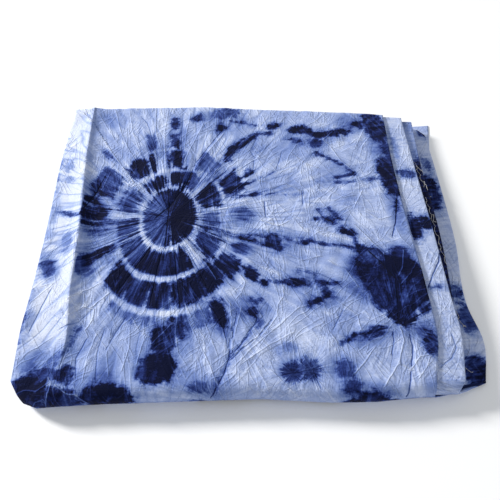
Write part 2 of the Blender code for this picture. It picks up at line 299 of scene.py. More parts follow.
# The creases that stand up enough to cast a shade, on the top leaf, in millimetres. Fans
# are the pleats that ran into a tie; folds are single soft ridges and, below 0, troughs.
FANS = (
    # centre x, y, from and to degrees, pleats, inner, outer, half width, height
    (-115, 14, 0, 360, 34, 26, 135, 2.2, 0.75),
    (-115, 14, 62, 158, 13, 90, 240, 2.4, 0.50),
    (-115, 14, 228, 300, 12, 100, 235, 2.4, 0.50),
    (-52, -236, 44, 104, 9, 16, 110, 2.2, 0.60),
    (165, -154, 58, 128, 6, 12, 90, 2.4, 0.60),
)
FOLDS = (
    # half width, height, then the x and y of the places it runs through
    (2.6, 0.9, (-265, 229), (-242, 195), (-221, 160), (-201, 127), (-183, 99), (-161, 63)),
    (2.4, -0.7, (-258, 225), (-236, 189), (-214, 153)),
    (2.4, 0.7, (-214, 232), (-203, 190), (-187, 150), (-172, 120)),
    (2.2, 0.5, (-238, 222), (-220, 188), (-204, 160)),
    (2.2, 0.5, (-192, 230), (-183, 184), (-168, 140), (-160, 118)),
    (2.2, -0.5, (-171, 215), (-162, 203), (-143, 140), (-137, 103)),
    (2.2, 0.5, (-150, 222), (-147, 184), (-138, 150)),
    (2.2, 0.5, (-132, 226), (-134, 178), (-131, 146), (-127, 106)),
    (2.2, -0.5, (-108, 208), (-107, 163), (-105, 140)),
    (2.2, 0.5, (-96, 222), (-101, 176), (-102, 146)),
    (2.4, 0.6, (-75, 200), (-95, 140), (-101, 118)),
    (2.4, -0.9, (-48, 182), (-70, 142), (-83, 118), (-98, 70)),
    (2.2, 0.7, (-44, 178), (-66, 139), (-79, 114), (-92, 80)),
    (2.2, 0.5, (-18, 150), (-45, 116), (-64, 86)),
    (2.8, -1.1, (-90, 92), (-101, 62), (-116, 34), (-134, 14)),
    (2.4, 0.7, (-245, 93), (-225, 66), (-204, 44)),
    (2.6, -0.9, (-212, 94), (-220, 62), (-232, 30)),
    (2.2, 0.6, (-206, 98), (-214, 66)),
    (2.2, 0.6, (-190, 101), (-172, 74), (-158, 50)),
    (2.4, -1.0, (-117, 40), (-118, 0), (-118, -36)),
    (2.2, 0.6, (-155, -20), (-186, -36), (-213, -50)),
    (2.2, 0.5, (-152, 8), (-186, 6), (-222, 10)),
    (2.4, 0.9, (-100, -19), (-82, -40), (-66, -60), (-52, -84)),
    (2.2, -0.7, (-94, -16), (-76, -36), (-60, -56)),
    (2.2, 0.5, (-68, 24), (-40, 30), (-12, 44)),
    (2.2, 0.5, (-60, -8), (-30, -12), (4, -16)),
    (1.9, -0.8, (-122, -40), (-127, -80), (-131, -120)),
    (1.9, -0.8, (-106, -40), (-100, -84), (-94, -124)),
    (1.9, -0.7, (-138, -36), (-156, -70), (-172, -100)),
    (1.9, -0.7, (-92, -34), (-74, -70), (-62, -96)),
    (1.9, -0.8, (-84, 48), (-62, 76), (-40, 100)),
    (1.9, -0.7, (-134, 56), (-142, 92), (-152, 132)),
    (1.9, -0.7, (-96, 58), (-88, 94), (-84, 124)),
    (1.9, -0.7, (-146, 40), (-168, 66), (-188, 90)),
    (1.9, -0.7, (-152, -8), (-184, -22), (-214, -36)),
    (1.9, -0.6, (-72, -4), (-44, -22), (-22, -34)),
    (2.2, -0.6, (-4, 138), (2, 127), (-1, 101)),
    (2.2, 0.5, (7, 122), (15, 104), (27, 99)),
    (2.2, -0.6, (42, 136), (38, 120), (33, 104)),
    (2.2, 0.5, (20, 150), (8, 128), (-16, 108)),
    (2.2, 0.5, (64, 150), (52, 128), (46, 108)),
    (2.2, 0.6, (88, 217), (96, 206), (104, 195)),
    (2.2, 0.6, (110, 217), (100, 204), (84, 192)),
    (2.4, 0.8, (122, 178), (105, 160), (114, 150), (127, 118), (145, 95)),
    (2.2, 0.6, (170, 182), (160, 160), (150, 139)),
    (2.2, 0.5, (178, 168), (164, 148), (156, 124)),
    (2.2, 0.5, (57, 82), (74, 62), (78, 50)),
    (2.2, -0.7, (67, 60), (66, 37)),
    (2.2, 0.5, (88, 47), (99, 27)),
    (2.2, -0.7, (84, 27), (92, 12), (103, 4)),
    (2.0, -1.1, (13, 40), (14, 17)),
    (2.2, 0.5, (31, 38), (51, 10), (84, -38)),
    (2.2, 0.5, (48, 20), (83, -13), (115, -33)),
    (2.2, 0.4, (80, 40), (110, 2), (140, -30)),
    (2.6, 0.9, (133, -3), (148, -26), (164, -50)),
    (2.4, 0.7, (120, -4), (143, -36)),
    (2.2, 0.7, (151, 58), (135, 27)),
    (2.0, 0.8, (58, 132), (76, 112), (92, 104)),
    (2.0, 0.8, (20, 66), (44, 74), (62, 62)),
    (2.0, 0.7, (104, 62), (122, 46), (138, 50)),
    (2.0, 0.8, (8, 8), (30, -2), (44, 6)),
    (2.0, 0.7, (60, 6), (86, -6), (104, -18)),
    (2.0, 0.7, (-30, 60), (-8, 84), (16, 78)),
    (2.0, 0.7, (150, 20), (166, 6), (184, 12)),
    (2.0, 0.7, (40, -50), (58, -58), (82, -52)),
    (2.0, 0.7, (92, -60), (112, -74), (124, -98)),
    (2.0, 0.7, (96, -118), (118, -138), (120, -158)),
    (2.0, 0.6, (-8, -60), (14, -72), (22, -100)),
    (2.2, 0.5, (185, -3), (190, -26), (200, -40)),
    (2.2, 0.6, (-224, -133), (-210, -120)),
    (2.6, 0.9, (-213, -102), (-209, -121), (-198, -124), (-197, -138), (-204, -152), (-200, -160)),
    (2.2, 0.7, (-182, -101), (-199, -119)),
    (2.2, 0.6, (-196, -88), (-214, -100), (-228, -112)),
    (2.2, -0.5, (-232, -150), (-214, -142), (-206, -132)),
    (2.2, -0.6, (-200, -162), (-210, -187), (-207, -208)),
    (2.2, 0.5, (-190, -158), (-197, -187), (-198, -214)),
    (2.2, -0.5, (-182, -154), (-186, -180), (-184, -212)),
    (2.2, 0.5, (-174, -152), (-175, -184), (-170, -208)),
    (2.4, -0.7, (-159, -137), (-170, -160), (-176, -176)),
    (2.4, 0.7, (-151, -137), (-141, -153), (-128, -163)),
    (2.2, 0.6, (-152, -150), (-150, -176), (-156, -204)),
    (2.2, 0.6, (-136, -142), (-134, -166), (-140, -196)),
    (2.4, 0.7, (-125, -134), (-102, -145), (-124, -171)),
    (2.2, 0.6, (-97, -134), (-98, -158), (-94, -180)),
    (2.4, 0.7, (-82, -145), (-72, -168), (-60, -192), (-42, -238)),
    (2.2, 0.6, (-62, -150), (-48, -188)),
    (2.4, -0.9, (-39, -131), (-34, -146), (-31, -164)),
    (2.2, 0.6, (-88, -120), (-76, -148), (-62, -168)),
    (2.8, -1.0, (-32, -171), (-36, -192), (-40, -208), (-55, -236)),
    (2.6, -0.9, (-2, -142), (-13, -163), (-33, -190)),
    (2.2, 0.8, (12, -145), (-4, -167), (-21, -179), (-31, -188)),
    (2.0, 0.6, (22, -138), (8, -158), (-10, -170)),
    (2.0, -0.9, (16, -142), (0, -164), (-16, -176), (-32, -192)),
    (2.4, -0.7, (4, -140), (-8, -152), (-20, -170)),
    (2.4, 0.8, (-34, -120), (-32, -160), (-32, -178)),
    (2.2, 0.6, (-20, -126), (-26, -150), (-30, -170)),
    (2.0, 0.5, (50, -126), (24, -150), (-8, -178), (-28, -200)),
    (2.0, -0.8, (-44, -146), (-38, -168), (-35, -186)),
    (2.0, -0.7, (-26, -134), (-30, -156), (-34, -176)),
    (2.2, 0.5, (40, -160), (10, -176), (-18, -196)),
    (2.2, 0.6, (2, -47), (13, -66), (26, -80), (50, -92)),
    (2.2, 0.5, (69, -47), (66, -63)),
    (2.2, -0.5, (52, -70), (70, -75), (93, -87), (104, -98)),
    (2.2, 0.6, (32, -98), (31, -112), (24, -121), (22, -138)),
    (2.2, 0.6, (-21, -79), (-15, -90), (-20, -104), (-26, -113)),
    (2.2, 0.6, (-46, -84), (-32, -96), (-14, -108)),
    (2.4, 0.7, (-2, -208), (9, -229)),
    (2.2, 0.6, (12, -206), (26, -222), (40, -236)),
    (2.2, -0.6, (61, -211), (66, -228)),
    (2.6, 0.9, (133, -180), (117, -200), (105, -212)),
    (2.4, -0.8, (157, -161), (156, -173), (151, -189)),
    (2.6, 0.9, (167, -158), (168, -172), (157, -200), (136, -228)),
    (2.8, -1.1, (176, -166), (177, -181), (170, -208), (162, -240)),
    (2.4, 0.8, (157, -200), (170, -208), (182, -193), (200, -189)),
    (2.4, 0.7, (194, -192), (190, -203), (177, -218)),
    (2.2, -0.6, (101, -133), (88, -155)),
    (2.2, 0.6, (82, -160), (89, -172)),
    (2.4, -0.9, (146, -47), (158, -62), (172, -88), (170, -120), (166, -146)),
    (2.4, 0.8, (190, -46), (184, -71), (177, -84)),
    (2.2, 0.6, (206, -60), (192, -82), (178, -96)),
    (1.8, 1.1, (-237, -210), (-232, -216), (-234, -226), (-238, -243)),
    (1.8, 0.8, (-238, -217), (-247, -224), (-262, -222), (-272, -226)),
    (1.8, 1.0, (-228, -218), (-214, -228), (-204, -229), (-192, -240)),
    (1.8, 0.8, (-236, -232), (-249, -236), (-254, -246)),
    (1.8, -1.3, (199, 50), (194, 28), (189, 4), (180, -22)),
    (1.8, -1.4, (236, -50), (233, -62), (224, -77), (212, -99)),
    (1.8, -0.6, (227, -164), (229, -180), (220, -194), (206, -203)),
    (2.2, 0.7, (-135, -214), (-129, -222)),
    (2.2, -0.6, (-254, -96), (-262, -120), (-270, -150)),
)
# The ridge's sharp crest: its rise, and its reach to the left and to the right.
CREST_RISE = 2.6
CREST_LEFT, CREST_RIGHT = 14.0, 5.0
PLEAT_SEED = 7
CRUMPLE = (
    # size across and along a crease in mm, the crease's heading in degrees, height
    (24.0, 80.0, 72.0, 1.6),
    (30.0, 70.0, 122.0, 1.5),
    (12.0, 34.0, 95.0, 0.5),
)
CRUMPLE_LEVEL = 0.18
CREASE_REACH = 4.5
NO_CREASE = 9.0
CREASE_EDGE = 1.3
BROAD_BACK = 0.75
DEEPEST_TROUGH = -1.0
LIFT = 0.6


def stroke_distance(x, y, x0, y0, x1, y1):
    """The distance to a stroke, and the share of its length at the nearest point."""
    dx, dy = x1 - x0, y1 - y0
    share = np.clip(((x - x0) * dx + (y - y0) * dy) / (dx * dx + dy * dy), 0.0, 1.0)
    return np.hypot(x - x0 - share * dx, y - y0 - share * dy), share


def fan_folds():
    """The pleats of every fan as single folds."""
    draw = np.random.default_rng(PLEAT_SEED)
    folds = []
    for cx, cy, start, end, count, inner, outer, half_width, height in FANS:
        for i in range(count):
            angle = math.radians(start + (end - start) * (i + draw.uniform(0.15, 0.85)) / count)
            bend = angle + draw.uniform(-0.08, 0.08)
            near = inner * draw.uniform(0.8, 2.2)
            far = outer * draw.uniform(0.6, 1.0)
            middle = near + (far - near) * draw.uniform(0.4, 0.6)
            size = half_width * draw.uniform(0.8, 1.3)
            rise = height * draw.uniform(0.5, 1.1) * draw.choice((1.0, 1.0, -0.8))
            spots = [
                (cx + r * math.cos(a), cy + r * math.sin(a))
                for r, a in ((near, angle), (middle, bend), (far, angle))
            ]
            folds += [(*a, *b, size, rise) for a, b in zip(spots, spots[1:])]
    return folds


def crumpled(x, y):
    """The low folds of crumpled cloth in millimetres: round backs between sharp valleys."""
    total = np.zeros_like(x)
    for layer, (across, along_crease, heading, height) in enumerate(CRUMPLE):
        a = math.radians(heading)
        lengthwise = (x * math.cos(a) + y * math.sin(a)) / along_crease
        sideways = (y * math.cos(a) - x * math.sin(a)) / across
        for i, (s, w) in enumerate(zip(lengthwise, sideways)):
            total[i] += height * (abs(noise.noise(Vector((s, w, 3.1 * layer)))) - CRUMPLE_LEVEL)
    return total


def long_creases():
    """Each stretch of every crease in the table of folds, as a single fold."""
    return [
        (*a, *b, width, height) for width, height, *spots in FOLDS for a, b in zip(spots, spots[1:])
    ]


def nearest_crease(x, y):
    """How far to the left or right the nearest crease runs, and its height, in millimetres."""
    off, rise = np.full_like(x, NO_CREASE), np.zeros_like(x)
    for x0, y0, x1, y1, _, height in long_creases():
        far, _ = stroke_distance(x, y, x0, y0, x1, y1)
        side = np.where((x1 - x0) * (y - y0) > (y1 - y0) * (x - x0), 1.0, -1.0)
        rise = np.where(far < np.abs(off), height * ease(CREASE_EDGE - far / CREASE_REACH), rise)
        off = np.where(far < np.abs(off), far * side, off)
    return off, rise


def relief(x, y):
    """How far the top leaf's creases stand over its smooth shape, in millimetres."""
    rise = crumpled(x, y)
    for x0, y0, x1, y1, half_width, height in fan_folds() + long_creases():
        far, _ = stroke_distance(x, y, x0, y0, x1, y1)
        rise += BROAD_BACK * height * np.exp(-((far / half_width) ** 2))
    crest, stands = crest_at(y / 1000)
    off = x - crest * 1000
    width = np.where(off < 0, CREST_LEFT, CREST_RIGHT)
    rise += CREST_RISE * np.exp(-np.abs(off) / width) * stands
    return LIFT + np.maximum(rise, DEEPEST_TROUGH)


# The dye on the top leaf. The great ring is longer from far to near than it is wide, so its
# panels are given by angle and by distance from its middle, measured from far to near.
RING_PLACE = (-115.0, 14.0)
RING_SQUEEZE = 0.72
RING_MEAN_SCALE = 0.86
PANELS = (
    # inner, outer, from and to degrees, depth of the dye
    (-20, 49, 82, 276, 0.66),
    (-20, 49, -84, 100, 1.18),
    (94, 132, 119, 137, 1.00),
    (92, 128, 110, 117, 0.95),
    (138, 172, 106, 112, 0.45),
    (57, 80, 102, 134, 0.95),
    (58, 84, 76, 95, 1.00),
    (94, 129, 82, 95, 1.00),
    (134, 166, 88, 94, 0.90),
    (173, 199, 90, 94, 0.80),
    (58, 100, 14, 38, 1.00),
    (108, 150, 19, 36, 1.00),
    (160, 178, 26, 31, 0.80),
    (100, 137, 46, 64, 0.50),
    (62, 90, 50, 80, 0.45),
    (66, 100, 143, 170, 0.50),
    (118, 168, 143, 162, 0.60),
    (118, 172, 173, 182, 1.00),
    (56, 118, 182, 187, 0.80),
    (60, 98, 188, 200, 0.50),
    (104, 146, 222, 240, 1.00),
    (60, 96, 208, 236, 0.55),
    (58, 95, 237, 300, 0.95),
    (100, 142, 240, 257, 0.60),
    (102, 142, 256, 276, 0.82),
    (102, 142, 278, 306, 0.94),
    (62, 106, -42, -20, 0.85),
    (98, 142, -54, -42, 0.90),
    (112, 152, -40, -29, 0.90),
    (62, 90, -8, 6, 0.40),
    (150, 182, 273, 283, 0.90),
    (146, 165, 236, 262, 0.35),
    (146, 176, 283, 300, 0.40),
)
PATCHES = (
    # x, y, half width, half length, turn in degrees, depth
    (-214, 136, 6, 12, 30, 0.50),
    (-48, 190, 10, 7, 20, 0.80),
    (-85, 212, 10, 8, 0, 0.80),
    (-41, 222, 22, 13, 0, 0.60),
    (31, 191, 12, 8, 10, 1.00),
    (64, 162, 9, 5, 0, 0.80),
    (80, 181, 18, 9, -24, 1.00),
    (112, 172, 13, 7, 10, 1.00),
    (136, 177, 15, 7, 0, 0.90),
    (94, 154, 11, 8, 0, 0.75),
    (-50, -132, 11, 19, 14, 1.05),
    (-111, -167, 17, 20, -8, 0.88),
    (-116, -200, 22, 20, -6, 1.00),
    (-128, -208, 12, 12, 0, 0.90),
    (-14, 18, 14, 10, 0, 0.40),
    (-62, -3, 10, 6, 0, 0.60),
    (-6, -19, 13, 6, 0, 0.90),
    (22, -26, 12, 13, 15, 1.00),
    (29, -38, 7, 8, 0, 0.90),
    (41, -23, 9, 3, 0, 0.70),
    (65, -27, 10, 5, 0, 0.80),
    (-23, -39, 12, 9, 0, 0.40),
    (-7, -78, 8, 11, 20, 0.85),
    (-1, -116, 8, 5, 0, 0.70),
    (-8, -132, 8, 6, 0, 0.80),
    (188, 190, 18, 38, 8, 0.95),
    (168, 194, 14, 9, 0, 0.80),
    (196, 172, 7, 12, 10, 0.95),
    (200, 128, 8, 36, 4, 0.60),
    (195, 86, 17, 40, 6, 1.00),
    (128, 75, 17, 4, 0, 0.70),
    (167, 80, 14, 4, 10, 0.70),
    (102, 5, 11, 5, -20, 1.00),
    (116, -10, 8, 6, -40, 1.00),
    (148, -82, 22, 38, 14, 0.72),
    (190, -94, 24, 38, 8, 1.00),
    (170, -92, 20, 44, 0, 0.95),
    (152, -52, 15, 12, 0, 0.80),
    (184, -55, 12, 16, 0, 0.50),
    (172, -126, 20, 28, 0, 1.00),
    (152, -116, 14, 20, 20, 0.75),
    (198, -130, 10, 7, 0, 0.80),
    (198, -112, 13, 19, 0, 1.00),
    (134, -162, 18, 7, 15, 0.90),
    (200, -176, 9, 16, 0, 0.80),
    (97, -206, 11, 13, 0, 0.55),
    (101, -227, 13, 8, 0, 0.70),
    (124, -240, 20, 9, 0, 1.00),
    (36, -209, 13, 14, 0, 0.66),
    (55, -206, 14, 14, 0, 0.62),
    (33, -179, 10, 6, 15, 0.22),
    (-67, -224, 12, 8, 0, 0.50),
    (-258, -226, 24, 22, 0, 1.00),
    (-226, -236, 30, 16, 0, 0.95),
    (-242, -205, 20, 10, 0, 0.65),
    (-218, -206, 10, 12, 20, 0.90),
    (-173, -233, 30, 16, 0, 1.00),
    (-148, -236, 8, 10, 0, 0.80),
    (-222, -60, 12, 18, 20, 0.50),
)
LEFT_STRIP_PATCHES = (
    (-265, -62, 9, 16, 20, 0.55),
    (-252, 21, 14, 3, -25, 0.60),
    (-246, -24, 6, 13, 0, 0.30),
    (-266, 109, 8, 12, 0, 0.26),
    (-262, 86, 6, 8, 0, 0.22),
)
LEFT_STRIP_STROKES = (
    (-282, -36, -284, -110, 3.4, 0.70),
    (-284, -110, -281, -170, 2.6, 0.60),
    (-280, 120, -282, 60, 2.5, 0.35),
)
CLOUDS_AND_RIDGE_SHADE = (
    # x, y, half width, half length, turn in degrees, depth of the thin dye and painted shade
    (-172, 48, 31, 27, 0, 0.33),
    (-176, -12, 29, 22, 0, 0.33),
    (-208, 70, 29, 29, 20, 0.36),
    # These clouds right of the ridge's crest are partly painted shade beside the ridge.
    (-222, 26, 23, 81, 8, 0.27),
    (-210, 6, 22, 56, 8, 0.46),
    (-214, -58, 17, 44, 6, 0.36),
    (-196, -44, 31, 20, -25, 0.30),
    (-135, -58, 36, 27, 0, 0.45),
    (-152, -96, 43, 27, 10, 0.30),
    (-92, -100, 47, 31, 0, 0.33),
    (-58, -2, 32, 32, 0, 0.33),
    (-18, 14, 31, 25, 0, 0.30),
    (-20, -40, 27, 16, 0, 0.33),
    (-44, -76, 31, 27, 0, 0.36),
    (-60, 92, 38, 38, 0, 0.24),
    (-110, 150, 32, 63, 0, 0.24),
    (-148, 138, 25, 45, 0, 0.23),
    (-200, 132, 31, 31, 0, 0.18),
    (-40, 196, 54, 32, 0, 0.27),
    (-75, 215, 31, 16, 0, 0.27),
    (-8, 152, 43, 31, 40, 0.27),
    (90, 168, 62, 28, 0, 0.24),
    (66, 140, 72, 27, 0, 0.17),
    (116, 100, 44, 30, 0, 0.16),
    (188, 130, 22, 76, 5, 0.30),
    (194, 20, 18, 63, 5, 0.29),
    (152, 196, 38, 32, 0, 0.24),
    (110, 10, 36, 26, -30, 0.20),
    (130, 44, 32, 16, 0, 0.17),
    (30, -30, 41, 27, 0, 0.30),
    (-6, -20, 32, 20, 0, 0.27),
    (60, -92, 72, 25, 0, 0.23),
    (80, -118, 41, 18, 10, 0.27),
    (148, -64, 54, 38, 0, 0.33),
    (134, -92, 34, 46, 12, 0.46),
    (194, -56, 27, 38, 0, 0.33),
    (-8, -126, 36, 31, 0, 0.30),
    (-42, -140, 31, 36, 0, 0.30),
    (-100, -166, 38, 49, 0, 0.30),
    (-152, -150, 47, 40, 20, 0.17),
    (-162, -196, 31, 32, 0, 0.18),
    (-130, -192, 25, 36, 0, 0.30),
    (-214, -172, 27, 52, -25, 0.14),
    (-252, -192, 31, 25, 0, 0.33),
    (-190, -216, 49, 22, 0, 0.33),
    (-84, -214, 31, 23, 0, 0.27),
    (-50, -226, 31, 22, 0, 0.27),
    (45, -206, 38, 22, 0, 0.24),
    (30, -180, 18, 10, 0, 0.12),
    (96, -206, 31, 29, 0, 0.28),
    (116, -232, 41, 18, 0, 0.31),
    (132, -166, 43, 22, 20, 0.28),
    (96, -150, 27, 22, 30, 0.18),
    (200, -166, 22, 38, 0, 0.30),
    (178, -160, 29, 13, 0, 0.24),
    (196, -226, 22, 16, 0, 0.20),
    (-225, 210, 45, 27, 0, 0.16),
    (30, 70, 54, 36, 0, 0.12),
    (30, -60, 54, 27, 0, 0.10),
)
LEFT_STRIP_CLOUDS = (
    (-262, -66, 18, 31, 20, 0.24),
    (-276, -150, 12, 50, 0, 0.16),
    (-274, 20, 11, 81, 0, 0.12),
)
GROUND_DYE = 0.105
LEFT_STRIP_DYE = 0.012
STRIP_END = -0.168
STRIP_SIDE_BLUR, STRIP_END_BLUR = 4.0, 24.0
CLOUD_EDGE = 1.4
STROKES = (
    # x, y to x, y, half width, depth
    (62, 184, 98, 173, 7.0, 1.00),
    (98, 173, 128, 175, 6.8, 1.00),
    (86, 27, 95, 8, 1.6, 0.70),
    (100, 27, 116, 6, 1.6, 0.60),
    (198, 52, 192, 22, 2.4, 0.70),
    (-262, -252, -200, -256, 8.0, 1.00),
    (-200, -256, -130, -252, 5.0, 0.90),
    (-130, -252, -60, -250, 2.6, 0.60),
    (-78, -244, -24, -250, 3.2, 0.60),
    (96, -246, 152, -248, 4.0, 0.90),
    (152, -250, 205, -246, 2.2, 0.50),
    (-134, 14, -108, 50, 4.5, 1.00),
    (-108, 50, -92, 86, 3.5, 0.95),
    (-222, 10, -160, 4, 5.0, 0.80),
    (-232, 6, -210, 8, 7.0, 0.95),
    (-212, 94, -222, 60, 3.0, 1.00),
    (-222, 60, -236, 30, 3.0, 1.00),
    (-226, -52, -204, -44, 6.5, 1.00),
    (-52, -62, -34, -64, 6.0, 0.90),
    (80, -98, 88, -108, 5.0, 0.90),
    (88, -108, 62, -124, 4.0, 0.90),
    (94, -176, 112, -165, 2.6, 0.80),
    (52, -74, 74, -78, 1.8, 0.60),
    (-224, -49, -188, -34, 5.0, 1.00),
    (-188, -34, -152, -17, 3.0, 0.80),
    (-37, 121, -32, 140, 6.0, 0.95),
    (-32, 140, -7, 164, 6.5, 1.00),
    (-7, 164, 8, 175, 6.0, 1.00),
    (8, 175, 27, 178, 5.0, 0.90),
    (-58, 52, 13, 55, 2.2, 0.80),
    (13, 55, 66, 55, 1.6, 0.50),
    (-13, 74, 26, 94, 2.0, 0.70),
    (-35, 205, 3, 195, 2.6, 0.70),
    (127, 110, 94, 133, 3.0, 0.80),
    (145, 90, 116, 85, 2.4, 0.70),
    (145, 90, 127, 110, 3.0, 0.80),
    (1, -79, -19, -67, 2.6, 0.80),
    (7, -90, 58, -91, 5.0, 0.95),
    (58, -91, 101, -94, 3.0, 0.70),
    (125, -12, 134, -42, 4.0, 0.80),
    (73, -26, 82, -31, 3.0, 0.80),
    (82, -31, 135, -42, 2.4, 0.70),
    (134, -42, 150, -60, 8.0, 0.90),
    (-211, -150, -237, -206, 4.0, 0.60),
    (-206, 95, -221, 39, 2.4, 1.00),
    (-62, -3, -12, -19, 2.2, 0.80),
    (81, 11, 96, 10, 2.0, 0.60),
    (-188, -34, -140, 2, 2.0, 0.60),
    (-52, -229, -34, -189, 2.4, 0.35),
    (5, -144, -34, -189, 2.0, 0.30),
)
BINDINGS = (
    # ring, degrees, distance from the middle, half width of its line, how well it kept the dye out
    (0, 0, 50, 2.4, 0.25),
    (0, 25, 52, 2.4, 0.30),
    (0, 48, 55, 2.4, 0.35),
    (0, 72, 55, 2.0, 0.15),
    (0, 92, 53, 2.0, 0.20),
    (0, 116, 54, 3.0, 0.34),
    (0, 142, 55, 3.0, 0.36),
    (0, 165, 56, 2.8, 0.40),
    (0, 190, 55, 3.0, 0.60),
    (0, 222, 56, 4.0, 0.85),
    (0, 250, 53, 3.6, 0.95),
    (0, 272, 51, 3.4, 1.00),
    (0, 292, 51, 3.4, 0.95),
    (0, 315, 50, 3.2, 0.70),
    (0, 340, 50, 2.6, 0.35),
    (1, 0, 102, 2.6, 0.10),
    (1, 15, 104, 3.4, 0.40),
    (1, 32, 106, 4.2, 0.55),
    (1, 52, 100, 3.0, 0.10),
    (1, 80, 88, 3.4, 0.60),
    (1, 100, 87, 3.4, 0.50),
    (1, 122, 88, 4.4, 0.55),
    (1, 142, 95, 3.4, 0.50),
    (1, 175, 98, 3.0, 0.20),
    (1, 210, 102, 4.0, 0.25),
    (1, 224, 104, 4.6, 0.55),
    (1, 238, 104, 5.4, 0.90),
    (1, 252, 100, 5.4, 1.00),
    (1, 270, 97, 4.2, 0.95),
    (1, 288, 97, 4.0, 0.90),
    (1, 300, 100, 4.2, 0.75),
    (1, 314, 102, 3.4, 0.30),
    (1, 335, 103, 3.0, 0.10),
    (2, 0, 148, 3.0, 0.0),
    (2, 70, 134, 3.0, 0.0),
    (2, 88, 130, 2.6, 0.55),
    (2, 112, 134, 3.4, 0.30),
    (2, 135, 138, 3.0, 0.0),
    (2, 218, 148, 4.0, 0.10),
    (2, 230, 148, 4.4, 0.60),
    (2, 243, 149, 5.0, 0.90),
    (2, 256, 147, 5.0, 0.90),
    (2, 270, 145, 4.8, 1.00),
    (2, 286, 148, 5.0, 0.90),
    (2, 300, 151, 4.4, 0.50),
    (2, 314, 151, 4.0, 0.0),
)
BINDING_REACH = 8.0
BINDING_FADE = 2.4
NO_THREAD = 99.0
ROUNDING, CORNER_SHIFT = 3.0, 0.4
STRENGTH_REACH = 4.0
LEAST_WET, MOST_WET = -30.0, 30.0


def panel_depth_inside(x, y, inner, outer, start, end):
    """How far inside a panel of the ring a place is, in millimetres, below 0 outside."""
    across, down = (x - RING_PLACE[0]) / RING_SQUEEZE, y - RING_PLACE[1]
    out = np.hypot(across, down)
    off = np.degrees(np.arctan2(down, across)) - (start + end) / 2
    off = np.abs((off + 180) % 360 - 180)
    radial = np.minimum(out - inner, outer - out)
    if end - start >= 360:
        return radial * RING_MEAN_SCALE
    sideways = np.radians((end - start) / 2 - off) * np.maximum(out, 1.0)
    pair = np.stack((radial, sideways)) * RING_MEAN_SCALE
    rounded = -np.log(np.exp(-np.clip(pair, -60, 60) / ROUNDING).sum(0))
    return ROUNDING * (rounded + CORNER_SHIFT)


def patch_depth_inside(x, y, cx, cy, half_width, half_length, turn):
    """How far inside a turned oval a place is, in millimetres, below 0 outside."""
    a = math.radians(turn)
    across = (x - cx) * math.cos(a) + (y - cy) * math.sin(a)
    down = (y - cy) * math.cos(a) - (x - cx) * math.sin(a)
    return (1 - np.hypot(across / half_width, down / half_length)) * min(half_width, half_length)


def stroke_depth_inside(x, y, x0, y0, x1, y1, half_width):
    """How far inside a stroke a place is, in millimetres, below 0 outside."""
    far, _ = stroke_distance(x, y, x0, y0, x1, y1)
    return half_width - far


def soaked_and_gap_shade(x, y, panels, patches, strokes):
    """(how far inside the nearest dyed place, how deep its dye is) over a face of the cloth; in the gap at
    the right the dark place is painted shade.
    """
    fields = [(panel_depth_inside(x, y, *row[:-1]), row[-1]) for row in panels]
    fields += [(patch_depth_inside(x, y, *row[:-1]), row[-1]) for row in patches]
    fields += [(stroke_depth_inside(x, y, *row[:-1]), row[-1]) for row in strokes]
    wet = np.max([field for field, _ in fields], axis=0)
    weights = [np.exp(np.clip(field - wet, -40, 0) / STRENGTH_REACH) * depth for field, depth in fields]
    depth = sum(w * d for w, (_, d) in zip(weights, fields)) / sum(weights)
    return np.clip(wet, LEAST_WET, MOST_WET), depth


def bindings(x, y):
    """(how far out from the nearest bound thread, its half width, how well it held)."""
    across, down = (x - RING_PLACE[0]) / RING_SQUEEZE, y - RING_PLACE[1]
    angle, out = np.degrees(np.arctan2(down, across)) % 360, np.hypot(across, down)
    best = np.array((np.full_like(x, NO_THREAD), np.ones_like(x), np.zeros_like(x)))
    for ring in sorted({row[0] for row in BINDINGS}):
        degrees, *values = zip(*(row[1:] for row in BINDINGS if row[0] == ring))
        radius, width, hold = (np.interp(angle, degrees, value, period=360) for value in values)
        found = np.array((out - radius, width, hold))
        best = np.where(np.abs(found[0]) < np.abs(best[0]), found, best)
    best[2] *= ease(BINDING_FADE - np.abs(best[0]) / BINDING_REACH)
    return best


def thin_dye_and_ridge_shade(x, y):
    """How much thin dye, with painted shade right of the ridge, lies over the ground between the dark
    places, from 0 to 1.
    """
    crest = crest_at(y / 1000)[0] * 1000
    strip = ease((crest - x) / STRIP_SIDE_BLUR + 0.5)
    strip = strip * ease((y - STRIP_END * 1000) / STRIP_END_BLUR + 0.5)
    left = 1 - GROUND_DYE + (GROUND_DYE - LEFT_STRIP_DYE) * strip
    for clouds, share in ((CLOUDS_AND_RIDGE_SHADE, 1 - strip), (LEFT_STRIP_CLOUDS, strip)):
        for *row, depth in clouds:
            inside = patch_depth_inside(x, y, *row) / min(row[2], row[3])
            left = left * (1 - depth * ease(inside * CLOUD_EDGE) * share)
    return 1 - left


# The strips at the right are the edges of other leaves, with their own small stains. The
# leaves deep in the gap between them are painted dark as shade. Hidden leaves have soft blotches.
SECOND_LEAF_PATCHES = (
    (221, 92, 14, 9, 0, 0.70),
    (213, -5, 11, 21, 0, 1.00),
    (229, 2, 10, 13, 0, 0.95),
    (225, -99, 7, 3, 0, 0.60),
    (214, -227, 12, 6, 0, 0.60),
    (212, 150, 5, 26, 0, 0.35),
)
SECOND_LEAF_STROKES = (
    (214, -100, 232, -98, 2.0, 0.50),
    (208, 96, 232, 92, 3.0, 0.80),
)
LOWER_LEAF_PATCHES = (
    (272, 200, 12, 14, 0, 0.75),
    (257, 73, 14, 36, 0, 0.90),
    (252, -95, 12, 12, 0, 0.85),
    (260, -134, 14, 20, 0, 0.72),
    (253, -202, 16, 22, 0, 0.95),
    (262, 130, 8, 14, 0, 0.50),
)
